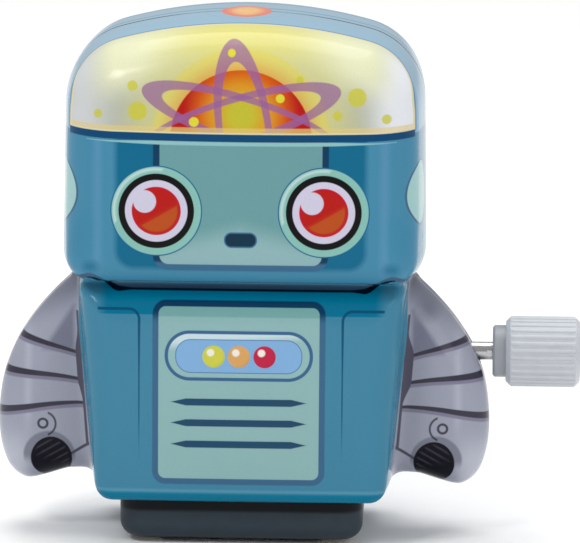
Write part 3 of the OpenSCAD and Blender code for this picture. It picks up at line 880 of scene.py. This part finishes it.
def metal(name, dark, light, rough, stretch=(1, 1, 1)):
    """Brushed metal. Its grain is finest along the largest number in stretch."""
    s = Surface(name)
    grain = s.noise(2.2, 4.0, 0.6, stretch=stretch)
    stain = s.noise(0.35, 3.0)
    lay(s, s.paint(linear_rgb(*dark)).over(linear_rgb(*light), grain), 0.86 + 0.22 * stain)
    s.set(Metallic=1.0, Roughness=rough + 0.16 * grain)
    s.bump(grain, 0.2, 0.03)
    return s.material


def plastic(name, dark, light, rough, spec=0.5, through=0.0, far=None):
    """Moulded plastic. Far is a second colour, an axis, and where it starts and is full, in mm;
    here it is always painted shade.
    """
    s = Surface(name)
    mottle = s.noise(0.5, 4.0)
    fine = s.noise(9.0, 2.0, 0.7)
    paint = s.paint(linear_rgb(*dark)).over(linear_rgb(*light), mottle)
    if far:
        colour, axis, start, full = far
        paint.over(linear_rgb(*colour), getattr(s, axis).rise(start, full))
    lay(s, paint, 0.93 + 0.12 * fine)
    s.set(Roughness=rough + 0.12 * mottle, Specular_IOR_Level=spec)
    if through:
        s.set(Subsurface_Weight=through, Subsurface_Radius=(1.0, 1.0, 1.0), Subsurface_Scale=0.0016)
    s.bump(fine, 0.15, 0.02)
    return s.material


def dress(material, slot_name, *names):
    """Gives CAD nodes a material; slot_name is not used."""
    for name in names:
        NODES[name].data.materials.clear()
        NODES[name].data.materials.append(material)


TIN_IN = bare_tin()
# painted shade: the top strip of the base, under the body's overhanging hem, is painted almost
# black
dress(plastic("base_plastic", (44, 54, 62), (54, 64, 72), 0.36, 0.15,
              far=((2, 5, 9), "z", 3.4, 4.0)), "base_plastic", "base_tray")
# painted shade: the knob's collar, at its inner end, is painted darker
dress(plastic("knob_plastic", (174, 177, 183), (190, 193, 199), 0.36, 0.45, 0.3,
              far=((146, 149, 156), "x", 32.0, 31.7)), "knob_plastic", "winding_knob")
dress(metal("zinc_screw", (150, 150, 152), (196, 198, 202), 0.3), "zinc_screw", "base_screws")
dress(metal("plated_steel", (140, 138, 128), (180, 177, 160), 0.36, (1, 6, 1)), "plated_steel",
      "left_plate", "right_plate")
dress(metal("bright_steel", (150, 150, 152), (206, 206, 208), 0.2, (0.4, 6, 6)), "bright_steel",
      "frame_pillars", "winding_arbor", "slip_arbor", "drive_axle", "governor_arbor",
      "verge_staff", "verge", "verge_pins", "front_axle")
dress(metal("brass", (150, 116, 52), (196, 160, 84), 0.28), "brass",
      "spring_hub", "great_wheel", "star_wheel")
dress(metal("spring_steel", (66, 72, 84), (112, 118, 126), 0.3, (6, 1, 1)), "spring_steel",
      "mainspring")
dress(plastic("gear_plastic", (206, 200, 182), (222, 216, 200), 0.42), "gear_plastic",
      "slip_pinion", "intermediate_wheel", "drive_pinion", "governor_pinion")
dress(plastic("wheel_plastic", (196, 190, 172), (214, 208, 192), 0.45), "wheel_plastic",
      "drive_wheels", "front_wheels")
dress(plastic("tyre_rubber", (22, 22, 24), (36, 36, 38), 0.7, 0.35), "tyre_rubber",
      "drive_tyres")

# ---------------------------------------------------------------- the two stamped halves

skin = Skin()
points, quads = skin_mesh(skin, FINE_STEP)
for node, side in (("front_shell", -1), ("back_shell", 1)):
    shell = half_skin(node + "_skin", points, quads, skin, side)
    sheet_metal(shell, tin_surface(node + "_print", side < 0), TIN_IN)
    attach(shell, "chassis")
    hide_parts(node)

# ---------------------------------------------------------------- studio

centre = (CAD_BOX[0] + CAD_BOX[1]) / 2
size = max(CAD_BOX[1] - CAD_BOX[0])


def soft_light(name, azimuth, height, distance, wide, tall, power):
    """An area light aimed at the robot's middle. Azimuth 0 is in front of its face."""
    data = bpy.data.lights.new(name, "AREA")
    data.shape = "RECTANGLE"
    data.size, data.size_y = wide * size, tall * size
    data.energy = power
    lamp = bpy.data.objects.new(name, data)
    bpy.context.scene.collection.objects.link(lamp)
    a, e = math.radians(azimuth), math.radians(height)
    way = Vector((math.sin(a) * math.cos(e), -math.cos(a) * math.cos(e), math.sin(e)))
    lamp.location = centre + way * distance * size
    lamp.rotation_mode = "QUATERNION"
    lamp.rotation_quaternion = way.to_track_quat("Z", "Y")


soft_light("key", -36, 44, 5.0, 1.1, 1.0, 0.34)
soft_light("key_side", -50, 44, 5.0, 0.3, 1.0, 0.1)
soft_light("fill", 52, 24, 5.5, 3.0, 3.0, 0.34)
soft_light("top", 174, 78, 20.0, 14.0, 14.0, 13.5)

world = bpy.data.worlds.new("studio")
bpy.context.scene.world = world
world.use_nodes = True
background = world.node_tree.nodes["Background"]
background.inputs["Color"].default_value = (1.0, 1.0, 1.0, 1.0)
background.inputs["Strength"].default_value = 0.5

bpy.ops.mesh.primitive_plane_add(size=size * 60)
floor = bpy.context.object
floor.name = "floor"
floor.location = (centre.x, centre.y, CAD_BOX[0].z)
paper = Surface("floor_paper")
sheet = paper.paint(linear_rgb(248, 248, 248)).over(linear_rgb(254, 254, 254), paper.noise(0.02))
lay(paper, sheet, 0.97 + 0.04 * paper.noise(0.6))
paper.set(Roughness=0.7 + 0.1 * paper.noise(0.1))
floor.data.materials.append(paper.material)

SENSOR_MM, LENS_MM, CAMERA_AWAY = 36.0, 305.4, 0.6

lens = bpy.data.cameras.new("camera")
lens.sensor_width = SENSOR_MM
lens.lens = LENS_MM
lens.clip_end = 20.0
camera = bpy.data.objects.new("camera", lens)
bpy.context.scene.collection.objects.link(camera)
yaw, rise, roll = math.radians(1.8), math.radians(10.5), math.radians(0.45)
back = Vector((math.sin(yaw) * math.cos(rise), -math.cos(yaw) * math.cos(rise), math.sin(rise)))
camera.location = centre + back * CAMERA_AWAY
camera.rotation_mode = "QUATERNION"
camera.rotation_quaternion = (back.to_track_quat("Z", "Y")
                              @ Matrix.Rotation(roll, 3, "Z").to_quaternion())
bpy.context.scene.camera = camera
bpy.context.scene.view_settings.view_transform = "Standard"
